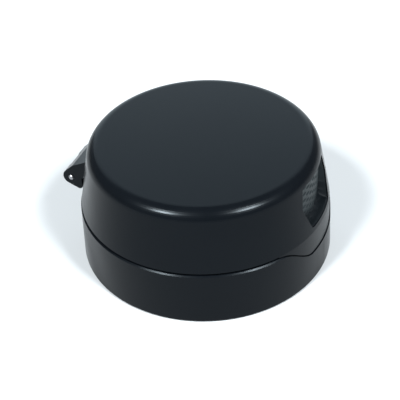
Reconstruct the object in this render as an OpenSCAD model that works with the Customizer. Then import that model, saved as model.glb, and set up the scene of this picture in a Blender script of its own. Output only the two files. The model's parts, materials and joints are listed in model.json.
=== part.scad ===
// Pocket cup anemometer, closed in its round flip-top case.
// Origin: on the case axis, at the bottom face. +Z up, the hinge is on -X and the thumb recess on +X.

/* [Case] */
// Radius of the base at the bottom face
base_r = 32.6; // [32:0.1:33.5]
// Radius of the base at the parting line
base_top_r = 32.25; // [31.9:0.05:32.6]
// Height of the parting line above the bottom face
seam_z = 14.8; // [14:0.1:15.2]
// Height of the parting line under the thumb recess
dip_z = 9; // [8.5:0.1:10]
// Radius of the lid at its rim
lid_r = 32; // [31.8:0.1:32.4]
// Radius of the lid just below the rounded top edge
lid_top_r = 29.6; // [29:0.1:30.5]
// Overall height with the lid closed
case_h = 32; // [31.5:0.1:33]
// Radius of the rounded top edge of the lid
lid_fillet = 3.5; // [2.4:0.1:3.6]
// Wall thickness of the lid
lid_wall = 1.6; // [1.4:0.1:1.8]
// Gap between the lid rim and the base rim
seam_gap = 0.35; // [0.25:0.05:0.5]

/* [Hinge] */
// Distance of the hinge pin from the case axis
pin_x = 36; // [35.8:0.1:36.3]
// Height of the hinge pin
pin_z = 14.7; // [14.5:0.1:14.9]
// Radius of the hinge pin
pin_r = 0.75; // [0.6:0.05:0.85]
// Width of the hinge lug on the lid
lug_w = 11.8; // [11:0.2:13]
// Width of the tongue on the base
tongue_w = 5.6; // [5:0.2:6]

/* [Thumb recess] */
// Height of the ledge at the foot of the recess
recess_low = 16.4; // [16.3:0.1:17]
// Height of the recess's upper edge
recess_high = 28.8; // [28:0.1:29]
// Half width of the recess at its widest
recess_half = 8.9; // [8.6:0.1:9.2]
// Radius of the face of the grip pad
grip_r = 28.9; // [28.6:0.1:29]
// Thickness of the grip pad
grip_t = 0.8; // [0.6:0.1:1]

/* [Rotor] */
// Distance of the cup centres from the spindle
arm_r = 18.2; // [17.5:0.1:18.5]
// Outer radius of a cup
cup_r = 6.6; // [6:0.1:6.8]
// Wall thickness of a cup
cup_wall = 0.8; // [0.7:0.05:1]
// Height of the cup centres
cup_z = 23; // [22.8:0.1:23.2]
// Radius of the spindle
spindle_r = 0.75; // [0.6:0.05:0.9]

/* [Electronics] */
// Top face of the deck plate
deck_z = 15.6; // [15.4:0.1:15.7]
// Thickness of the deck plate
deck_t = 1.4; // [1.2:0.1:1.5]
// Underside of the circuit board
board_z = 8; // [7.8:0.1:8.2]
// Distance of the coin cell from the case axis
cell_y = 18; // [17.8:0.1:18.1]

/* [Hidden] */
$fn = 96;
eps = 0.01;             // joins faces that would otherwise only touch
run = 0.05;             // radial clearance of a running fit
loose = 0.15;           // clearance round a part that lifts out
past = 40;              // carries a cut past everything

// base
rim_base = seam_z - seam_gap / 2;
ring_in = 28.9;         // locating ring, inside and outside
ring_out = 30.2;
ring_top = deck_z;
ring_low = 7.5;         // below this the wall is thinner inside
floor_t = 2;
dip_flat = 6.7;         // half width of the level part of the dip
dip_end = 18;           // half width where the dip has run out
knuckle_r = 2.1;        // round end of the tongue
tongue_gap = 0.2;       // free width on each side of the tongue

// lid
rim_lid = seam_z + seam_gap / 2;
lid_in = ring_out + 0.3;
crown = 0.4;            // how much the top face is domed
lug_r = 2.4;            // round end of the hinge lug
rim_chamfer = 0.3;
ledge_r = 31.5;         // the grip pad's skin on the ledge reaches this far out
ledge_skin = 0.3;
scoop_r = 1.4;          // hollow curve of the pad from its face to the ledge

// tripod bush
bush_r = 4.4;
bush_flange_r = 5.2;
bush_flange_t = 0.8;
bush_top = 5.8;
thread_r = 2.6;         // quarter-inch thread at its tapping size
thread_depth = 5.2;

// battery: a 20 mm coin cell, 3.2 mm thick
cell_r = 10;
cell_low = 2.9;
cell_can = 2.6;         // height of the wide part of the cell
cell_t = 3.2;
door_t = 0.95;
door_flange = 11.6;
door_neck = 10.6;
door_tab_w = 5;
door_tab_t = 0.6;
door_turn = 60;         // from locked to free
seal_r = 11.1;          // ring and cord radius of the seal
seal_cord = 0.3;

// screws
deck_screw_r = 25.3;
deck_screw_angles = [50, 180, 310];
deck_screw_shank = 0.9;
board_screws_at = [[0, 22], [-19, -9]];
board_screw_shank = 0.8;
slot_w = 0.4;           // width of a driver slot

// board, keys and display
board_t = 1;
board_top = board_z + board_t;
board_r = 27.4;
key_y = 4.3;
key_z = 11.6;
key_r = 1.7;
key_face = 29.7;
key_land = 29.4;
spring_t = 0.35;        // thickness of the battery springs
lcd_x = 15.5;           // centre, half size and underside of the display glass
lcd_half_x = 5.9;
lcd_half_y = 10.5;
lcd_low = 12.5;
window_t = 0.8;

// bearings
deck_low = deck_z - deck_t;
bearing_r = 2.2;
bearing_low = 9.6;
sleeve_r = 4;           // the deck's sleeve that holds both bearings
snap_z = 12.5;          // retaining ring and its groove
snap_t = 0.4;
snap_r = 1.6;
groove_r = spindle_r - 0.2;

// rotor
hub_r = 4.4;
skirt_r = 5.2;
hub_low = 16.4;
hub_top = 25;
cap_top = 26.6;
spindle_top = 22.4;
magnet_out = 4.2;
magnet_in = 2.4;
magnet_z = 16.6;
magnet_t = 2;
socket_r = 1.2;         // plug of a cup arm in the hub
arm_rod = 0.9;
cup_set = 2;            // the cup rim stands this far ahead of its arm
cup_lip = 0.25;         // rolled rim of a cup
hub_screw_r = 0.8;

// ---- curves ----

// Points on an arc of radius r about [x, z], from angle a to angle b
function arc(x, z, r, a, b, n) =
    [for (i = [0 : n]) let (t = a + (b - a) * i / n) [x + r * cos(t), z + r * sin(t)]];

function unit(v) = v / norm(v);

// A closed outline with each corner rounded to radius r
function rounded(pts, r, n) = [
    for (i = [0 : len(pts) - 1])
        let (p = pts[i],
             u = unit(pts[(i + len(pts) - 1) % len(pts)] - p),
             v = unit(pts[(i + 1) % len(pts)] - p),
             half = acos(u * v) / 2,
             c = p + unit(u + v) * r / sin(half),
             s = p + u * r / tan(half) - c,
             e = p + v * r / tan(half) - c,
             a = atan2(s[1], s[0]),
             turn = atan2(s[0] * e[1] - s[1] * e[0], s * e))
        for (k = [0 : n]) c + r * [cos(a + turn * k / n), sin(a + turn * k / n)]
];

function smooth(t) = t * t * (3 - 2 * t);

// The S-curve of the parting line on one side (-1 or 1) of the dip, for t from 0 at the dip to 1
function dip_point(side, t, lift) =
    [side * (dip_flat + (dip_end - dip_flat) * t), dip_z + lift + (seam_z - dip_z) * smooth(t)];

// Everything above the dipped parting line, seen along X: [y, z]
function dip_outline(lift, top) = concat(
    [for (i = [0 : 16]) dip_point(1, i / 16, lift)],
    [[dip_end, top], [-dip_end, top]],
    [for (i = [16 : -1 : 0]) dip_point(-1, i / 16, lift)]
);

// ---- helpers ----

// An outline given as [y, z], extruded along X from x0 to x1
module along_x(x0, x1) {
    translate([x0, 0, 0])
        rotate([90, 0, 90])
            linear_extrude(x1 - x0)
                children();
}

// An outline given as [x, z], extruded along Y over the width w, centred
module along_y(w) {
    translate([0, w / 2, 0])
        rotate([90, 0, 0])
            linear_extrude(w)
                children();
}

module tube(r_out, r_in, z0, z1) {
    difference() {
        translate([0, 0, z0]) cylinder(r = r_out, h = z1 - z0);
        translate([0, 0, z0 - 1]) cylinder(r = r_in, h = z1 - z0 + 2);
    }
}

module rod(r, z0, z1) {
    translate([0, 0, z0]) cylinder(r = r, h = z1 - z0);
}

module rod_x(r, x0, x1, y, z) {
    translate([x0, y, z]) rotate([0, 90, 0]) cylinder(r = r, h = x1 - x0);
}

module block(x0, x1, y0, y1, z0, z1) {
    translate([x0, y0, z0]) cube([x1 - x0, y1 - y0, z1 - z0]);
}

module at_deck_screws() {
    for (a = deck_screw_angles) rotate([0, 0, a]) translate([deck_screw_r, 0, 0]) children();
}

module at_board_screws() {
    for (p = board_screws_at) translate([p[0], p[1], 0]) children();
}

module at_cell() {
    translate([0, -cell_y, 0]) children();
}

// A cylinder on the hinge axis, of radius r and width w
module on_pin(r, w) {
    translate([-pin_x, w / 2, pin_z]) rotate([90, 0, 0]) cylinder(r = r, h = w);
}

// A cross of two driver slots, or one, cut down to z0
module driver_slots(angles, z0) {
    for (a = angles) rotate([0, 0, a]) block(-1.1, 1.1, -slot_w / 2, slot_w / 2, z0, past);
}

// ---- base ----

module base_wall() {
    edge = 0.5;
    rotate_extrude()
        polygon(concat(
            [[0, 0]],
            arc(base_r - edge, edge, edge, -90, 0, 6),
            [[base_top_r, rim_base - rim_chamfer], [base_top_r - rim_chamfer, rim_base],
             [ring_out, rim_base], [ring_out, ring_top - rim_chamfer], [ring_out - rim_chamfer, ring_top],
             [ring_in, ring_top], [ring_in, ring_low], [ring_out, ring_low - 0.5],
             [ring_out, floor_t], [0, floor_t]]
        ));
}

// The tongue that carries the hinge pin
module tongue() {
    root = -31;
    along_y(tongue_w)
        polygon(concat(
            arc(-pin_x, pin_z, knuckle_r, 60, 295, 24),
            [[root, 10.4], [root, 14.2], [-33.6, 14.2]]
        ));
}

// Bosses for the tripod bush, the screws and the battery well, rising from inside the floor
module base_bosses() {
    rod(bush_r + 1.6, 1, bush_top + 1.2);
    at_deck_screws() rod(2.6, 1, deck_low);
    at_board_screws() rod(2.2, 1, board_z);
    at_cell() tube(door_flange + 1.5, door_flange + 0.3, 1, cell_low + cell_t + 0.1);
}

// The hole for the battery door: a ledge for its flange, and two notches that let its tabs in
module door_opening() {
    at_cell() {
        rod(door_neck + loose, -1, floor_t + 1);
        rod(door_flange + loose, -1, 1);
        rotate([0, 0, door_turn])
            intersection() {
                rod(door_flange + run, 0.5, floor_t + 1);
                block(-past, past, -door_tab_w / 2 - loose, door_tab_w / 2 + loose, 0, floor_t + 1);
            }
    }
}

// Flat land for the keys, with a hole for each
module key_openings() {
    land_half = 7.2;
    land_top = 14.4;
    block(key_land, 31, -land_half, land_half, dip_z - seam_gap / 2, land_top);
    for (s = [-1, 1]) rod_x(key_r + 0.1, 27, 31, s * key_y, key_z);
}

// Room for the lid's hinge lug on both sides of the tongue
module lug_room() {
    difference() {
        block(-past, -31.2, -lug_w / 2 - 0.4, lug_w / 2 + 0.4, 9.8, 20);
        block(-past, -31, -tongue_w / 2, tongue_w / 2, 0, 30);
    }
}

module base_shell() {
    color([0.16, 0.18, 0.2])
    difference() {
        union() {
            base_wall();
            tongue();
            intersection() {
                base_bosses();
                rod(ring_out + 0.5, 0, 20);
            }
        }
        // the dip of the rim in front of the keys
        difference() {
            along_x(20, past) polygon(dip_outline(-seam_gap / 2, 20));
            rod(ring_out, 0, 30);
        }
        lug_room();
        key_openings();
        door_opening();
        on_pin(pin_r, 20);
        rod(bush_r, -1, bush_top);
        rod(bush_flange_r, -1, bush_flange_t);
        at_deck_screws() rod(deck_screw_shank, 5, 20);
        at_board_screws() rod(board_screw_shank, 3.4, 12);
    }
}

// Quarter-inch tripod bush, its thread drawn as a plain bore at the tapping size
module tripod_insert() {
    color([0.78, 0.62, 0.3])
    difference() {
        union() {
            rod(bush_r, bush_flange_t, bush_top);
            rod(bush_flange_r, 0, bush_flange_t);
        }
        rod(thread_r, -1, thread_depth);
    }
}

module hinge_pin() {
    end = lug_w / 2 + 0.35;
    nose = 0.2;
    color([0.8, 0.8, 0.82])
    translate([-pin_x, 0, pin_z])
        rotate([90, 0, 0])
            rotate_extrude()
                polygon([[0, -end], [pin_r - nose, -end], [pin_r, nose - end],
                         [pin_r, end - nose], [pin_r - nose, end], [0, end]]);
}

// ---- battery ----

module battery_door() {
    tab_low = floor_t + 0.1;
    color([0.17, 0.18, 0.2])
    at_cell()
        difference() {
            union() {
                rod(door_flange, 0, door_t);
                rod(door_neck, door_t - eps, tab_low);
                intersection() {
                    rod(door_flange, tab_low - eps, tab_low + door_tab_t);
                    block(-20, 20, -door_tab_w / 2, door_tab_w / 2, 0, 5);
                }
            }
            // coin slot and the seal's groove
            block(-6.5, 6.5, -0.9, 0.9, -1, 0.9);
            tube(seal_r + 0.35, seal_r - 0.35, seal_cord, 1.5);
        }
}

module door_seal() {
    color([0.1, 0.1, 0.1])
    at_cell()
        rotate_extrude()
            translate([seal_r, door_t - seal_cord - eps]) circle(r = seal_cord, $fn = 24);
}

module coin_cell() {
    color([0.75, 0.76, 0.78])
    at_cell() {
        rod(cell_r, cell_low, cell_low + cell_can);
        rod(cell_r - 1.1, cell_low + cell_can - eps, cell_low + cell_t);
    }
}

// A bent strip from the board down to the top of the cell
module battery_contact_minus() {
    foot = board_z - spring_t;
    touch = cell_low + cell_t;
    color([0.8, 0.72, 0.5])
    at_cell()
        along_y(3) {
            polygon([[-5, foot], [3, foot], [3, board_z], [-5, board_z]]);
            polygon([[-5, foot + 0.05], [-1, touch], [1, touch], [1, touch + 0.3],
                     [-0.85, touch + 0.3], [-4.5, foot + 0.05]]);
        }
}

// An upright strip against the side of the cell
module battery_contact_plus() {
    color([0.8, 0.72, 0.5])
    at_cell() {
        block(cell_r, cell_r + 0.4, -3, 3, cell_low + 0.3, board_z);
        block(cell_r - 3, cell_r + 0.1, -3, 3, board_z - spring_t, board_z);
    }
}

// ---- electronics ----

module main_board() {
    color([0.1, 0.35, 0.2])
    difference() {
        rod(board_r, board_z, board_top);
        at_deck_screws() rod(3, 0, 20);
        at_board_screws() rod(1, 0, 20);
    }
}

module board_screws() {
    head_t = 1.1;
    color([0.75, 0.75, 0.77])
    at_board_screws() {
        rod(board_screw_shank, 4, board_top);
        difference() {
            rod(1.7, board_top, board_top + head_t);
            driver_slots([0], board_top + head_t / 2);
        }
    }
}

// A square package with seven leads on each side
module controller_chip() {
    half = 3.5;
    pitch = 0.85;
    lead_w = 0.3;
    color([0.12, 0.12, 0.13])
    translate([-10, 9, board_top]) {
        block(-half, half, -half, half, 0.1, 1.4);
        for (k = [0 : 3]) rotate([0, 0, 90 * k])
            for (i = [-3 : 3])
                translate([0, i * pitch, 0]) block(half - 0.1, half + 0.9, -lead_w / 2, lead_w / 2, 0, 0.4);
    }
}

// Crystal, capacitors and resistors on the board
module board_parts() {
    color([0.6, 0.55, 0.42])
    translate([0, 0, board_top]) {
        block(-20.5, -17.2, 4, 12, 0, 2.2);
        for (i = [0 : 4]) translate([3 * i - 16, 16, 0]) cube([1.6, 0.9, 0.7]);
        for (i = [0 : 3]) translate([2.6 * i - 12, -12, 0]) cube([0.9, 1.6, 0.7]);
        translate([4, 14.5, 0]) cylinder(r = 2, h = 3.4);
    }
}

// The sensor stands beside the bearing sleeve, under the ring magnet
module hall_sensor() {
    lead = 1.27;
    color([0.13, 0.13, 0.14])
    translate([-8.6, 0, board_top]) {
        block(0, 1.6, -2, 2, 1.9, 4.9);
        for (i = [-1 : 1]) translate([0.6, i * lead, 0]) block(0, 0.4, -0.2, 0.2, 0, 2);
    }
}

module lcd_glass() {
    step = 1;
    half_t = 0.8;
    color([0.55, 0.6, 0.55])
    translate([lcd_x, 0, lcd_low]) {
        block(-lcd_half_x, lcd_half_x, -lcd_half_y, lcd_half_y, 0, half_t);
        block(step - lcd_half_x, lcd_half_x - step, -lcd_half_y, lcd_half_y, half_t, 2 * half_t);
    }
}

module lcd_connectors() {
    strip_w = 1.6;
    color([0.85, 0.5, 0.6])
    for (x = [lcd_x - lcd_half_x + 0.2, lcd_x + lcd_half_x - strip_w - 0.2])
        block(x, x + strip_w, -10, 10, board_top, lcd_low);
}

// Rounded outline of the window, enlarged by the margin m
module window_outline(m) {
    x = 4.9 + m;
    y = 9.9 + m;
    translate([lcd_x, 0]) polygon(rounded([[-x, -y], [x, -y], [x, y], [-x, y]], 1.2 + m, 4));
}

module lcd_window() {
    color([0.75, 0.8, 0.82, 0.5])
    translate([0, 0, deck_z - window_t]) linear_extrude(window_t) window_outline(0);
}

module key_switches() {
    body_h = 4.2;
    half_w = 2.4;
    face_x = 26.2;
    color([0.14, 0.14, 0.15])
    for (s = [-1, 1]) {
        block(face_x - 3, face_x, s * key_y - half_w, s * key_y + half_w, board_top, board_top + body_h);
        rod_x(0.9, face_x - eps, face_x + 0.6, s * key_y, key_z);
    }
}

// A key is pressed inwards, along -X. Its flange stops it behind the wall, and its face is dished
module key(y) {
    flange_r = 2.1;
    difference() {
        union() {
            rod_x(key_r, 28, key_face, y, key_z);
            rod_x(flange_r, 27.4, 28.1, y, key_z);
        }
        rod_x(1, key_face - 0.15, key_face + 1, y, key_z);
    }
}

module power_key() {
    color([0.75, 0.2, 0.15]) key(-key_y);
}

module mode_key() {
    color([0.6, 0.62, 0.65]) key(key_y);
}

// ---- deck and bearings ----

// The stepped bore of the sleeve: two bearing seats with room for the retaining ring between them
module bearing_seats() {
    rod(bearing_r, 9, bearing_low + 1.7);
    rod(2, 11, snap_z + 0.9);
    rod(bearing_r, snap_z + 0.8, past);
    rod(3.1, deck_z - 0.4, past);
}

module deck_plate() {
    wall = 0.8;
    color([0.2, 0.21, 0.23])
    difference() {
        union() {
            rod(ring_in - loose, deck_low, deck_z);
            rod(sleeve_r, bearing_low - 0.1, deck_z);
            tube(8.6, 8.6 - wall, deck_z - eps, deck_z + 0.35);
        }
        bearing_seats();
        translate([0, 0, deck_z - window_t]) linear_extrude(2) window_outline(0.1);
        block(lcd_x - 3.9, lcd_x + 3.9, -9, 9, 10, 20);
        at_deck_screws() {
            rod(1.1, 10, 20);
            rod(2, deck_z - 0.7, 20);
        }
    }
}

module deck_screws() {
    head_t = 0.7;
    color([0.75, 0.75, 0.77])
    at_deck_screws() {
        rod(deck_screw_shank, 6, deck_z - head_t + 0.1);
        difference() {
            rod(1.85, deck_z - head_t, deck_z);
            driver_slots([0, 90], deck_z - 0.45);
        }
    }
}

module lower_bearing() {
    seat = 0.5;
    color([0.75, 0.6, 0.3])
    difference() {
        rod(bearing_r, bearing_low, bearing_low + 1.6);
        rod(spindle_r + run, bearing_low + seat, 12);
    }
}

module upper_bearing() {
    flange_z = deck_z - 0.4;
    color([0.75, 0.6, 0.3])
    difference() {
        union() {
            rod(bearing_r, snap_z + 0.9, flange_z);
            rod(3, flange_z, deck_z + 0.2);
        }
        rod(spindle_r + run, 10, 20);
    }
}

// ---- rotor ----

module rotor_shaft() {
    color([0.8, 0.8, 0.82])
    difference() {
        rod(spindle_r, bearing_low + 0.55, spindle_top);
        tube(2, groove_r, snap_z, snap_z + snap_t);
    }
}

module retaining_ring() {
    color([0.7, 0.7, 0.72])
    difference() {
        tube(snap_r, groove_r, snap_z, snap_z + snap_t);
        block(0, 3, -snap_t, snap_t, 12, 14);
    }
}

module ring_magnet() {
    color([0.35, 0.35, 0.38]) tube(magnet_out, magnet_in, magnet_z, magnet_z + magnet_t);
}

module rotor_hub() {
    neck_z = 20.2;
    color([0.16, 0.17, 0.19])
    difference() {
        union() {
            rod(skirt_r, hub_low, neck_z);
            rotate_extrude()
                polygon(concat([[0, neck_z - 0.2]], arc(hub_r, neck_z, skirt_r - hub_r, 0, 90, 4),
                               [[hub_r, hub_top], [0, hub_top]]));
        }
        tube(magnet_out + run, magnet_in - run, hub_low - 1, magnet_z + magnet_t + run);
        rod(spindle_r, 10, spindle_top);
        rod(hub_screw_r, spindle_top - 0.4, 30);
        for (k = [0 : 2]) rotate([0, 0, 120 * k]) rod_x(socket_r, 2, 6, 0, cup_z);
    }
}

// A hemispherical cup, open towards +Y, with a rolled lip
module cup() {
    inner = cup_r - cup_wall;
    lip_r = cup_r + cup_lip;
    lip_t = 0.5;
    translate([arm_r, cup_set, cup_z])
        rotate([90, 0, 0])
            rotate_extrude()
                polygon(concat(
                    arc(0, 0, cup_r, 90, 0, 20),
                    [[lip_r, 0], [lip_r, -lip_t], [inner, -lip_t]],
                    arc(0, 0, inner, 0, 90, 20)
                ));
}

// The arm runs from its plug in the hub, past a collar, to the back of the cup
module arm() {
    difference() {
        union() {
            rod_x(socket_r, 2, hub_r - 0.2, 0, cup_z);
            rod_x(1.5, hub_r, skirt_r + 0.4, 0, cup_z);
            rod_x(arm_rod, 3, arm_r - 4, 0, cup_z);
        }
        translate([arm_r, cup_set, cup_z]) sphere(r = cup_r - cup_wall / 2);
    }
}

module cup_arm(k) {
    color([0.16, 0.17, 0.19])
    rotate([0, 0, 120 * k]) {
        cup();
        arm();
    }
}

module hub_cap() {
    round_r = 1.2;
    color([0.72, 0.2, 0.15])
    difference() {
        rotate_extrude()
            polygon(concat([[0, hub_top], [hub_r, hub_top]],
                           arc(hub_r - round_r, cap_top - round_r, round_r, 0, 90, 8),
                           [[0, cap_top]]));
        rod(hub_screw_r, 20, 30);
        rod(1.7, cap_top - 0.6, 30);
    }
}

module hub_screw() {
    head_z = cap_top - 0.6;
    color([0.75, 0.75, 0.77])
    difference() {
        union() {
            rod(hub_screw_r, spindle_top + 0.2, head_z + 0.1);
            rod(1.6, head_z, head_z + 1);
        }
        driver_slots([0, 90], head_z + 0.5);
    }
}

// ---- lid ----

function crown_z(r) = case_h - crown * pow(r / (lid_top_r - lid_fillet), 2);

module lid_outside() {
    cx = lid_top_r - lid_fillet;
    cz = case_h - crown - lid_fillet;
    rotate_extrude()
        polygon(concat(
            [[0, rim_lid], [lid_r - rim_chamfer, rim_lid], [lid_r, rim_lid + rim_chamfer]],
            arc(cx, cz, lid_fillet, 10, 88, 12),
            [for (i = [9 : -1 : 0]) let (r = cx * i / 10) [r, crown_z(r)]]
        ));
}

module lid_inside() {
    top = case_h - lid_wall - 0.3;
    r = lid_fillet - lid_wall + 0.4;
    difference() {
        rotate_extrude()
            polygon(concat(
                [[0, 2], [lid_in, 2], [lid_in, rim_lid + 1.8]],
                arc(lid_top_r - lid_wall - r, top - r, r, 0, 90, 6),
                [[0, top]]
            ));
        recess_back();
    }
}

// Outline of the thumb recess, [y, z], drawn larger by the margin m, and by low_m at its foot
module recess_outline(m, low_m) {
    low_half = 6.4 + m / 2;
    high_half = 7.5 + m;
    side = recess_half + m;
    low_z = recess_low - low_m;
    side_z = recess_low + 6.9;
    polygon(rounded([[-low_half, low_z], [low_half, low_z], [side, side_z],
                     [high_half, recess_high + m], [-high_half, recess_high + m], [-side, side_z]], 1, 4));
}

// The wall behind the recess, standing into the lid's hollow and clear of the base's ring
module recess_back() {
    back_wall = 1.2;
    clear = 0.25;
    intersection() {
        along_x(20, past) recess_outline(back_wall, recess_low - ring_top - clear);
        tube(35, grip_r - grip_t - back_wall, 10, past);
    }
}

module recess_cut() {
    intersection() {
        along_x(20, past) recess_outline(0, 0);
        tube(past, grip_r - grip_t, 10, past);
    }
}

// The tab of the lid that fills the dip of the base rim
module lid_tab() {
    join_z = rim_lid + rim_chamfer;
    intersection() {
        along_x(20, past) polygon(dip_outline(seam_gap / 2, rim_lid + 1));
        rotate_extrude()
            polygon([[lid_in, 5], [lid_r + 0.25, 5], [lid_r, join_z], [lid_in, join_z]]);
    }
}

// Side view of the hinge lug, [x, z]: a sloping back, a round end on the pin, and a rounded foot
module lug_side() {
    foot_r = 0.9;
    polygon(concat(
        [[-27, 22.8], [-31.5, 20.6], [-35.3, 18.7]],
        arc(-pin_x, pin_z, lug_r, 134, 232, 14),
        arc(foot_r - 34.8, 12.4, foot_r, 250, 360, 6),
        [[-33, rim_lid], [-27, rim_lid]]
    ));
}

// The slot in the lug for the tongue of the base
module tongue_slot() {
    w = tongue_w + 2 * tongue_gap;
    on_pin(knuckle_r + 0.35, w);
    block(-pin_x, -lid_r - 0.35, -w / 2, w / 2, 5, 16.2);
}

module lid_shell() {
    color([0.17, 0.19, 0.21])
    difference() {
        union() {
            lid_outside();
            lid_tab();
            along_y(lug_w) lug_side();
        }
        lid_inside();
        recess_cut();
        tongue_slot();
        on_pin(pin_r + run, 20);
    }
}

// The pad lines the recess: an upright face, a hollow curve, and a thin skin on the ledge
module thumb_grip() {
    skin_z = recess_low + ledge_skin;
    back = grip_r - grip_t;
    color([0.3, 0.32, 0.34])
    intersection() {
        along_x(20, past) recess_outline(-0.1, 0);
        rotate_extrude()
            polygon(concat(
                [[back, recess_low], [ledge_r, recess_low], [ledge_r, skin_z]],
                arc(grip_r + scoop_r, skin_z + scoop_r, scoop_r, 270, 180, 8),
                [[grip_r, recess_high], [back, recess_high]]
            ));
    }
}

base_shell();
tripod_insert();
battery_door();
door_seal();
coin_cell();
battery_contact_minus();
battery_contact_plus();
main_board();
board_screws();
controller_chip();
board_parts();
hall_sensor();
lcd_glass();
lcd_connectors();
lcd_window();
key_switches();
power_key();
mode_key();
deck_plate();
deck_screws();
lower_bearing();
upper_bearing();
retaining_ring();
rotor_shaft();
ring_magnet();
rotor_hub();
cup_arm(0);  // cup_1
cup_arm(1);  // cup_2
cup_arm(2);  // cup_3
hub_cap();
hub_screw();
hinge_pin();
lid_shell();
thumb_grip();
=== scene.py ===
"""Looks of the pocket cup anemometer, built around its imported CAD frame. Everything is in metres."""
import json
import math

import bmesh
import bpy
from mathutils import Matrix, Vector


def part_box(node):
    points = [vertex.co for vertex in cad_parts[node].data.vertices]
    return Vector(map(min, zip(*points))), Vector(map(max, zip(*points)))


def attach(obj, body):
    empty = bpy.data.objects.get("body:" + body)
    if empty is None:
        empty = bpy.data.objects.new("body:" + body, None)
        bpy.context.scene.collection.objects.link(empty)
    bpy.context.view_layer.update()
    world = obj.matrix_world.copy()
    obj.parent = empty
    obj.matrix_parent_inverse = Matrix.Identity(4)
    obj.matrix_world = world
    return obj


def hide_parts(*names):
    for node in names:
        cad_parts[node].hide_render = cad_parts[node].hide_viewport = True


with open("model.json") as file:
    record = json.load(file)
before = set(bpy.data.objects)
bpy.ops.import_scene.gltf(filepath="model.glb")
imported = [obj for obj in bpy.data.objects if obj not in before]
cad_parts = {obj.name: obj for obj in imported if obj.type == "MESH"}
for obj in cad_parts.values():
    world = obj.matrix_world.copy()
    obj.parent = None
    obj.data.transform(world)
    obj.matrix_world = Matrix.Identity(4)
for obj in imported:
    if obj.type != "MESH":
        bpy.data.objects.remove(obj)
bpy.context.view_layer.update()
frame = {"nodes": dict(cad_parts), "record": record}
nodes = frame["nodes"]
MM = 0.001


# ---- node helpers ----

def new_material(name):
    """A material with an empty Principled shader, and its node tree."""
    material = bpy.data.materials.new(name)
    material.use_nodes = True
    shader = material.node_tree.nodes["Principled BSDF"]
    return material, material.node_tree, shader


def add(tree, kind, **values):
    """A node of that kind with its input sockets set by name."""
    node = tree.nodes.new(kind)
    for key, value in values.items():
        node.inputs[key.replace("_", " ")].default_value = value
    return node


def position(tree):
    """Object coordinates, which are the frame's own metres."""
    return tree.nodes.new("ShaderNodeTexCoord").outputs["Object"]


def noise(tree, scale, detail=2.0, roughness=0.5):
    node = add(tree, "ShaderNodeTexNoise", Scale=scale, Detail=detail, Roughness=roughness)
    tree.links.new(position(tree), node.inputs["Vector"])
    return node.outputs["Fac"]


def map_range(tree, value, from_min, from_max, to_min=0.0, to_max=1.0):
    """A value mapped from one range to another, and kept within it."""
    limits = {"From_Min": from_min, "From_Max": from_max, "To_Min": to_min, "To_Max": to_max}
    node = add(tree, "ShaderNodeMapRange", **limits)
    tree.links.new(value, node.inputs["Value"])
    return node.outputs["Result"]


def spread(tree, value, low, high):
    """Maps the middle range of a noise, where most of it lies, to the range low to high."""
    return map_range(tree, value, 0.3, 0.7, low, high)


def product(tree, a, b):
    node = tree.nodes.new("ShaderNodeMath")
    node.operation = "MULTIPLY"
    tree.links.new(a, node.inputs[0])
    tree.links.new(b, node.inputs[1])
    return node.outputs["Value"]


def vector_math(tree, operation, value, constant=(0, 0, 0)):
    """The result of an operation on a vector and a constant, or on the vector alone."""
    node = tree.nodes.new("ShaderNodeVectorMath")
    node.operation = operation
    node.inputs[1].default_value = constant
    tree.links.new(value, node.inputs[0])
    return node.outputs["Value" if operation == "LENGTH" else "Vector"]


def tint(tree, value, dark, light):
    """A colour between dark and light, by a noise."""
    node = tree.nodes.new("ShaderNodeMix")
    node.data_type = "RGBA"
    node.inputs["A"].default_value = (*dark, 1)
    node.inputs["B"].default_value = (*light, 1)
    tree.links.new(value, node.inputs["Factor"])
    return node.outputs["Result"]


def bump(tree, height, strength, distance):
    node = tree.nodes.new("ShaderNodeBump")
    node.inputs["Strength"].default_value = strength
    node.inputs["Distance"].default_value = distance
    tree.links.new(height, node.inputs["Height"])
    return node.outputs["Normal"]


# ---- materials ----

def moulded_plastic(name, dark, light, rough, grain=3200.0, depth=0.5, specular=0.5, gloss=(1, 1, 1)):
    """Satin moulded plastic: a fine spark-eroded grain, and slight changes of shade and gloss."""
    material, tree, shader = new_material(name)
    link = tree.links.new
    link(tint(tree, noise(tree, 55, 3), dark, light), shader.inputs["Base Color"])
    link(spread(tree, noise(tree, 140, 4), rough - 0.03, rough + 0.03), shader.inputs["Roughness"])
    link(bump(tree, noise(tree, grain, 2), depth, 0.000012), shader.inputs["Normal"])
    shader.inputs["Specular IOR Level"].default_value = specular
    shader.inputs["Specular Tint"].default_value = (*gloss, 1)
    return material


def metal(name, dark, light, rough, turned=False):
    """Bright or plated metal with fine scratches."""
    material, tree, shader = new_material(name)
    link = tree.links.new
    shader.inputs["Metallic"].default_value = 1.0
    link(tint(tree, noise(tree, 300, 3), dark, light), shader.inputs["Base Color"])
    link(spread(tree, noise(tree, 900, 4), rough - 0.06, rough + 0.06), shader.inputs["Roughness"])
    link(bump(tree, noise(tree, 5200 if turned else 2600, 3), 0.25, 0.00001), shader.inputs["Normal"])
    return material


def rubber(name, dark, light, rough=0.7):
    """Matt elastomer with a fine dusty grain."""
    material, tree, shader = new_material(name)
    link = tree.links.new
    link(tint(tree, noise(tree, 400, 4), dark, light), shader.inputs["Base Color"])
    link(spread(tree, noise(tree, 700, 3), rough - 0.06, rough + 0.05), shader.inputs["Roughness"])
    link(bump(tree, noise(tree, 2600, 3), 0.5, 0.00002), shader.inputs["Normal"])
    return material


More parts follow.
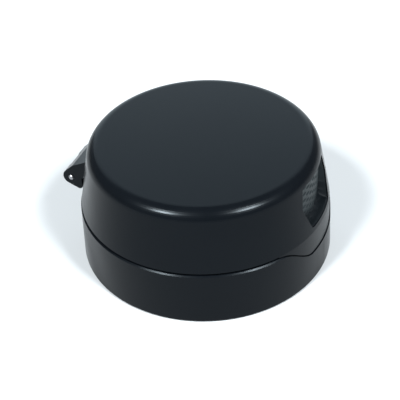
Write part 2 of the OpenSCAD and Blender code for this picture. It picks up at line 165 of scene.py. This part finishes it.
def grip_rubber_with_painted_shade(name, shade_colour, face_grey, rough, specular, centre, reach, face_r):
    """Rubber with a grey face, and painted shade where its recess would shade it.

    The grey fades into the painted shade at the reach in Y and Z from the centre, on the ledge and the end
    linings, and below the face's radius, in its pits.
    """
    material, tree, shader = new_material(name)
    link = tree.links.new
    away = vector_math(tree, "SUBTRACT", position(tree), centre)
    away = vector_math(tree, "MULTIPLY", away, (0, 1 / reach[0], 1 / reach[1]))
    # Painted shade: the grip goes darker outside the reach, on the ledge and at the ends of its recess, and
    # below its face, in its pits.
    inside = map_range(tree, vector_math(tree, "LENGTH", away), 1.0, GREY_CORE)
    radius = vector_math(tree, "LENGTH", vector_math(tree, "MULTIPLY", position(tree), (1, 1, 0)))
    raised = map_range(tree, radius, face_r - PIT_SHADE, face_r, PIT_GREY)
    patchy = spread(tree, noise(tree, 400, 4), 0.75, 1.0)
    unshaded_and_patchy = product(tree, product(tree, inside, raised), patchy)
    link(tint(tree, unshaded_and_patchy, shade_colour, face_grey), shader.inputs["Base Color"])
    link(spread(tree, noise(tree, 700, 3), rough - 0.06, rough + 0.05), shader.inputs["Roughness"])
    link(bump(tree, noise(tree, 2600, 3), 0.5, 0.00002), shader.inputs["Normal"])
    shader.inputs["Specular IOR Level"].default_value = specular
    return material


CASE_DARK = (0.0017, 0.0023, 0.0032)
CASE_LIGHT = (0.0023, 0.0030, 0.0040)
CASE_GLOSS = (0.88, 0.96, 1.0)
RED_DARK = (0.19, 0.010, 0.008)
RED_LIGHT = (0.25, 0.018, 0.013)
# The grip's face keeps its grey within GREY_CORE of the reach; beyond the reach and in the pits it has
# painted shade.
GRIP_MIDDLE = (0, 0, 24 * MM)
GRIP_R = 28.9 * MM        # the thumb grip's face lies on a cylinder about the case axis
GRIP_REACH = (9.2 * MM, 6.8 * MM)
GREY_CORE = 0.75          # the part of the reach where the grip's grey is full
PIT_SHADE = 0.2 * MM      # this far below its face the grip is down to
PIT_GREY = 0.4            # this part of its grey

MATERIALS = {
    "case_black": lambda n: moulded_plastic(n, CASE_DARK, CASE_LIGHT, 0.24,
                                            specular=0.083, gloss=CASE_GLOSS),
    # The grip's darker colour is painted shade for the recess's ledge, end linings and pits; the lighter
    # one is its face's grey.
    "grip": lambda n: grip_rubber_with_painted_shade(n, (0.0022, 0.0034, 0.0045), (0.0150, 0.0195, 0.0210), 0.5, 0.12,
                                    GRIP_MIDDLE, GRIP_REACH, GRIP_R),
    "pin_steel": lambda n: metal(n, (0.24, 0.24, 0.25), (0.32, 0.32, 0.33), 0.40, True),
    "screw_steel": lambda n: metal(n, (0.26, 0.26, 0.28), (0.38, 0.38, 0.40), 0.32),
    "brass": lambda n: metal(n, (0.42, 0.29, 0.11), (0.54, 0.40, 0.18), 0.28, True),
    "deck": lambda n: moulded_plastic(n, (0.0075, 0.0088, 0.0105), (0.011, 0.0125, 0.0145), 0.5,
                                      grain=1500.0, depth=0.9, specular=0.2),
    "board_green": lambda n: moulded_plastic(n, (0.004, 0.036, 0.016), (0.009, 0.060, 0.028), 0.35,
                                             specular=0.3),
    "chip_black": lambda n: moulded_plastic(n, (0.006, 0.006, 0.0065), (0.010, 0.010, 0.0105), 0.5,
                                            specular=0.2),
    "parts_tan": lambda n: moulded_plastic(n, (0.14, 0.11, 0.07), (0.22, 0.18, 0.12), 0.45),
    "cell_steel": lambda n: metal(n, (0.40, 0.41, 0.43), (0.54, 0.55, 0.57), 0.3),
    "contact_spring": lambda n: metal(n, (0.42, 0.32, 0.17), (0.54, 0.44, 0.26), 0.3),
    "lcd": lambda n: moulded_plastic(n, (0.105, 0.125, 0.095), (0.125, 0.145, 0.112), 0.22,
                                     grain=900.0, depth=0.2, specular=0.2),
    "lcd_strip": lambda n: rubber(n, (0.18, 0.085, 0.10), (0.26, 0.145, 0.17)),
    "seal": lambda n: rubber(n, (0.004, 0.004, 0.0045), (0.008, 0.008, 0.0085), 0.45),
    "bearing": lambda n: metal(n, (0.36, 0.25, 0.11), (0.48, 0.35, 0.18), 0.36, True),
    "magnet": lambda n: moulded_plastic(n, (0.015, 0.015, 0.017), (0.027, 0.027, 0.029), 0.5),
    "rotor_black": lambda n: moulded_plastic(n, (0.005, 0.006, 0.0075), (0.0075, 0.0088, 0.0105), 0.32,
                                             specular=0.25),
    "hub_red": lambda n: moulded_plastic(n, RED_DARK, RED_LIGHT, 0.25, specular=0.3),
    "key_red": lambda n: moulded_plastic(n, RED_DARK, RED_LIGHT, 0.3, specular=0.3),
    "key_grey": lambda n: moulded_plastic(n, (0.075, 0.079, 0.086), (0.105, 0.109, 0.116), 0.4,
                                          specular=0.3),
}


def clear_plastic(name):
    """The display window: clear, with faint haze."""
    material, tree, shader = new_material(name)
    link = tree.links.new
    shade = tint(tree, noise(tree, 200, 3), (0.86, 0.89, 0.90), (0.95, 0.97, 0.97))
    link(shade, shader.inputs["Base Color"])
    link(spread(tree, noise(tree, 500, 3), 0.02, 0.07), shader.inputs["Roughness"])
    shader.inputs["Transmission Weight"].default_value = 1.0
    shader.inputs["IOR"].default_value = 1.49
    return material


def finishes():
    """One material for each slot of the record, given to every node that uses it."""
    made = {}
    for part in frame["record"]["subparts"]:
        name = part["material_slot"]
        if name not in made:
            made[name] = MATERIALS.get(name, clear_plastic)(name)
        node = nodes[part["node"]]
        node.data.materials.clear()
        node.data.materials.append(made[name])
    return made


made = finishes()

# ---- thumb grip: a rubber pad with rows of shallow pits ----

SCOOP_R = 1.4 * MM        # the hollow curve from the face to the ledge
LEDGE_SKIN = 0.3 * MM
PIT_STEP = 3.6 * MM       # along a row
PIT_ROW = 1.0 * MM        # from row to row; every second row is shifted by half a step
PIT_R = 0.40 * MM         # half the height of a pit
PIT_STRETCH = 2.4         # its width over its height
PIT_DEPTH = 0.25 * MM
LINING = 0.2 * MM         # thickness of the pad where it lines the ends of the recess
RIM_INSET = 0.35 * MM     # from the lid's outside to the edge of that lining
LID_R = 32.0 * MM         # outside of the lid at its rim and just under its rounded top edge
LID_TOP_R = 29.6 * MM
LID_RIM_Z = 15.0 * MM
EDGE_DROP = 0.08 * MM     # the pad's rounded border
RIM_DROP = 0.18 * MM      # how much the skin on the ledge thins out at its rim
GRIP_COLUMNS = 120
GRIP_ROWS = 110
SKIN = 0.02 * MM          # keeps the pad off the walls of the recess
PAD_LOW_HALF = 6.3 * MM   # half its width at the foot and at the top
PAD_HIGH_HALF = 7.4 * MM
PAD_KNEE = 6.9 * MM       # from its foot up to its widest place
PAD_CORNER = 1.0 * MM


def rounded_outline(corners, radius, steps=6):
    """The closed outline through the corners, each rounded to the radius."""
    points = []
    for i, corner in enumerate(corners):
        to_last = (corners[i - 1] - corner).normalized()
        to_next = (corners[(i + 1) % len(corners)] - corner).normalized()
        half = to_last.angle(to_next) / 2
        centre = corner + (to_last + to_next).normalized() * radius / math.sin(half)
        start = corner + to_last * radius / math.tan(half) - centre
        end = corner + to_next * radius / math.tan(half) - centre
        for k in range(steps + 1):
            points.append(centre + start.lerp(end, k / steps).normalized() * radius)
    return points


def half_width(outline, z):
    """How far the outline, given as (y, z) points, reaches to the +Y side at the height z."""
    reach = 0.0
    for a, b in zip(outline, outline[1:] + outline[:1]):
        if min(a.y, b.y) <= z <= max(a.y, b.y) and a.y != b.y:
            reach = max(reach, a.x + (b.x - a.x) * (z - a.y) / (b.y - a.y))
    return reach


def pit_depth(along, down):
    """How deep the face is pitted, at a distance along a row and down the profile."""
    row = round(down / PIT_ROW)
    shift = 0.5 * (row % 2)
    column = round(along / PIT_STEP - shift) + shift
    away = math.hypot((along - column * PIT_STEP) / PIT_STRETCH, down - row * PIT_ROW) / PIT_R
    return PIT_DEPTH * max(0.0, 1 - away ** 4)


def grip_profile(top, ledge, rim_r, down):
    """The pad's profile at a distance down it from the top: radius, height, and the outward normal."""
    face = top - ledge - SCOOP_R
    curve = SCOOP_R * math.pi / 2
    if down < face:
        return GRIP_R, top - down, 1.0, 0.0
    if down < face + curve:
        angle = (down - face) / SCOOP_R
        r = GRIP_R + SCOOP_R * (1 - math.cos(angle))
        return r, ledge + SCOOP_R * (1 - math.sin(angle)), math.cos(angle), math.sin(angle)
    r = min(GRIP_R + SCOOP_R + down - face - curve, rim_r)
    over = max(0.0, r - rim_r + LEDGE_SKIN) / LEDGE_SKIN
    return r, ledge - RIM_DROP * over ** 2, 0.0, 1.0


def grip_pad():
    """A closed skin: a pitted front and a plain back, each a sheet of rows, joined round their borders."""
    low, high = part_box("thumb_grip")
    top, foot = high[2] - SKIN, low[2] + SKIN
    ledge = low[2] + LEDGE_SKIN
    rim_r = high[0] - SKIN
    side_half, side_z = high[1], low[2] + PAD_KNEE
    outline = rounded_outline([Vector(p) for p in (
        (-PAD_LOW_HALF, low[2]), (PAD_LOW_HALF, low[2]), (side_half, side_z),
        (PAD_HIGH_HALF, high[2]), (-PAD_HIGH_HALF, high[2]), (-side_half, side_z))], PAD_CORNER)
    length = top - ledge - SCOOP_R + SCOOP_R * math.pi / 2 + rim_r - GRIP_R - SCOOP_R
    bm = bmesh.new()
    edges = []
    for back in (False, True):
        sheet = []
        for j in range(GRIP_ROWS + 1):
            down = length * j / GRIP_ROWS
            r, z, out, rise = grip_profile(top, ledge, rim_r, down)
            half = half_width(outline, max(z, foot + LEDGE_SKIN / 2)) - SKIN - (0 if back else LINING)
            steep = (z - LID_RIM_Z) / (top - LID_RIM_Z)
            lip_r = max(r, LID_R + (LID_TOP_R - LID_R) * steep - RIM_INSET)
            row = [bm.verts.new((math.sqrt(lip_r ** 2 - half ** 2), -half, z))]
            for i in range(GRIP_COLUMNS + 1):
                y = half * (2 * i / GRIP_COLUMNS - 1)
                if back:
                    depth = LEDGE_SKIN - 2 * SKIN
                elif j == GRIP_ROWS:
                    depth = 0
                elif i in (0, GRIP_COLUMNS) or j == 0:
                    depth = EDGE_DROP
                else:
                    depth = pit_depth(math.asin(y / r) * r, down) * out
                at_r = r - out * depth
                at_z = max(z - rise * depth, foot)
                row.append(bm.verts.new((math.sqrt(at_r * at_r - y * y), y, at_z)))
            row.append(bm.verts.new((math.sqrt(lip_r ** 2 - half ** 2), half, z)))
            sheet.append(row)
        for j in range(GRIP_ROWS):
            for i in range(GRIP_COLUMNS + 2):
                bm.faces.new((sheet[j][i], sheet[j][i + 1], sheet[j + 1][i + 1], sheet[j + 1][i]))
        edges.append(border(sheet))
    front, rear = edges
    for k in range(len(front)):
        bm.faces.new((front[k], rear[k], rear[k - 1], front[k - 1]))
    piece("grip_pad", bm, "grip", "lid", "thumb_grip")


def border(sheet):
    """The verts round a sheet of rows, in order."""
    low, high = sheet[0], sheet[-1]
    inner = sheet[1:-1]
    return low + [row[-1] for row in inner] + high[::-1] + [row[0] for row in inner[::-1]]


def piece(name, bm, slot, body, *replaced):
    """Makes a smooth-shaded piece with the slot's material, riding on the body."""
    bmesh.ops.recalc_face_normals(bm, faces=bm.faces)
    mesh = bpy.data.meshes.new(name)
    bm.to_mesh(mesh)
    bm.free()
    mesh.shade_smooth()
    obj = bpy.data.objects.new(name, mesh)
    bpy.context.scene.collection.objects.link(obj)
    mesh.materials.append(made[slot])
    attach(obj, body)
    if replaced:
        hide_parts(*replaced)


grip_pad()

# ---- display: dark figures on the glass, read from the +X side ----

DIGIT_H = 5.0 * MM
DIGIT_W = 2.8 * MM
DIGIT_PITCH = 4.6 * MM
BAR = 0.6 * MM
BAR_GAP = 0.12 * MM
LEAN = 0.1                # slant of the figures
DOT_R = 0.36 * MM
LIFT = 0.01 * MM          # the figures lie this far above the glass
READING = "04.2"
BARS = {                  # the ends of each bar, in digit widths and half heights
    "top": ((0, 2), (1, 2)), "upper_right": ((1, 2), (1, 1)), "lower_right": ((1, 1), (1, 0)),
    "bottom": ((0, 0), (1, 0)), "lower_left": ((0, 1), (0, 0)), "upper_left": ((0, 2), (0, 1)),
    "middle": ((0, 1), (1, 1))}
FIGURES = {
    "0": ("top", "upper_right", "lower_right", "bottom", "lower_left", "upper_left"),
    "2": ("top", "upper_right", "middle", "lower_left", "bottom"),
    "4": ("upper_left", "middle", "upper_right", "lower_right")}


def bar_outline(start, end):
    """A bar with pointed ends between two points of the display's plane."""
    along = (end - start).normalized()
    across = Vector((-along.y, along.x)) * BAR / 2
    a, b = start + along * BAR_GAP, end - along * BAR_GAP
    point = along * BAR / 2
    return [a, a + point - across, b - point - across, b, b - point + across, a + point + across]


def lcd_figures():
    low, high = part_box("lcd_glass")
    middle = Vector(((low[0] + high[0]) / 2, 0))
    z = high[2] + LIFT
    bm = bmesh.new()

    def fill(outline):
        """A flat face; the display's own right is +Y and its own up is -X."""
        bm.faces.new([bm.verts.new((middle.x - (p.y - DIGIT_H / 2), p.x + p.y * LEAN, z)) for p in outline])

    digits = READING.replace(".", "")
    left = -(len(digits) - 1) * DIGIT_PITCH / 2 - DIGIT_W / 2
    for k, digit in enumerate(digits):
        for name in FIGURES[digit]:
            x = left + k * DIGIT_PITCH
            start, end = (Vector((x + u * DIGIT_W, v * DIGIT_H / 2)) for u, v in BARS[name])
            fill(bar_outline(start, end))
    dot = Vector((left + (READING.index(".") - 0.5) * DIGIT_PITCH + DIGIT_W / 2, 0))
    turns = (k * math.pi / 6 for k in range(12))
    fill([dot + Vector((math.cos(t), math.sin(t))) * DOT_R for t in turns])
    piece("lcd_figures", bm, "chip_black", "base")


lcd_figures()

# ---- stage, light and camera ----

CASE_R = 32 * MM          # lid rim radius
CASE_MIDDLE = 15 * MM     # the height that the lights face
AZIMUTH = 24.0            # the camera stands this far round from -Y towards +X
ELEVATION = 38.93
ROLL = 2.87
DISTANCE = 9.45 * CASE_R
AIM_RIGHT = -0.047 * CASE_R
AIM_UP = 0.296 * CASE_R
SENSOR = 36.0
LENS = 101.8              # for that sensor

LIGHT_DISTANCE = 2.7
KEY_ELEVATION = 49
KEY_SIZE = 0.56
COOL_WHITE = (0.90, 0.96, 1.0)
BACK_BLUE = (0.74, 0.90, 1.0)
FLOOR_HALF = 3.0
FLOOR_DROP = 0.2 * MM     # keeps the floor just under the case


def camera_axes(azimuth, elevation):
    a, e = math.radians(azimuth), math.radians(elevation)
    right = Vector((math.cos(a), math.sin(a), 0))
    back = Vector((math.sin(a) * math.cos(e), -math.cos(a) * math.cos(e), math.sin(e)))
    return right, back.cross(right), back


def place_camera():
    data = bpy.data.cameras.new("camera")
    data.lens = LENS
    data.sensor_width = SENSOR
    data.clip_start = 0.01
    data.clip_end = 20
    camera = bpy.data.objects.new("camera", data)
    bpy.context.scene.collection.objects.link(camera)
    right, up, back = camera_axes(AZIMUTH, ELEVATION)
    place = right * AIM_RIGHT + up * AIM_UP + back * DISTANCE
    r = math.radians(ROLL)
    rolled_right = right * math.cos(r) - up * math.sin(r)
    rolled_up = right * math.sin(r) + up * math.cos(r)
    turn = Matrix((rolled_right, rolled_up, back)).transposed()
    camera.matrix_world = Matrix.Translation(place) @ turn.to_4x4()
    bpy.context.scene.camera = camera


def area_light(name, azimuth, elevation, size, power, colour):
    """A square soft box that faces the object. The azimuth is counted as the camera's is."""
    data = bpy.data.lights.new(name, "AREA")
    data.shape = "SQUARE"
    data.size = size
    data.energy = power
    data.color = colour
    light = bpy.data.objects.new(name, data)
    bpy.context.scene.collection.objects.link(light)
    _, _, back = camera_axes(azimuth, elevation)
    light.location = back * LIGHT_DISTANCE + Vector((0, 0, CASE_MIDDLE))
    light.rotation_mode = "QUATERNION"
    light.rotation_quaternion = back.to_track_quat("Z", "Y")


def floor():
    mesh = bpy.data.meshes.new("floor")
    corners = [(x * FLOOR_HALF, y * FLOOR_HALF, 0) for x, y in ((-1, -1), (1, -1), (1, 1), (-1, 1))]
    mesh.from_pydata(corners, [], [(0, 1, 2, 3)])
    plane = bpy.data.objects.new("floor", mesh)
    bpy.context.scene.collection.objects.link(plane)
    plane.location.z = -FLOOR_DROP
    material, tree, shader = new_material("floor_white")
    shade = tint(tree, noise(tree, 3, 2), (0.385, 0.385, 0.385), (0.405, 0.405, 0.405))
    tree.links.new(shade, shader.inputs["Base Color"])
    shader.inputs["Roughness"].default_value = 0.9
    shader.inputs["Specular IOR Level"].default_value = 0.1
    mesh.materials.append(material)


def studio():
    world = bpy.data.worlds.new("studio")
    bpy.context.scene.world = world
    world.use_nodes = True
    background = world.node_tree.nodes["Background"]
    background.inputs["Color"].default_value = (0.92, 0.97, 1.0, 1)
    background.inputs["Strength"].default_value = 0.26
    area_light("key_left", AZIMUTH - 48, KEY_ELEVATION, KEY_SIZE, 160, COOL_WHITE)
    area_light("key_right", AZIMUTH + 46, KEY_ELEVATION, KEY_SIZE, 164, COOL_WHITE)
    area_light("back", AZIMUTH + 180, 25, 3.0, 50, BACK_BLUE)
    bpy.context.scene.view_settings.view_transform = "Standard"


place_camera()
floor()
studio()
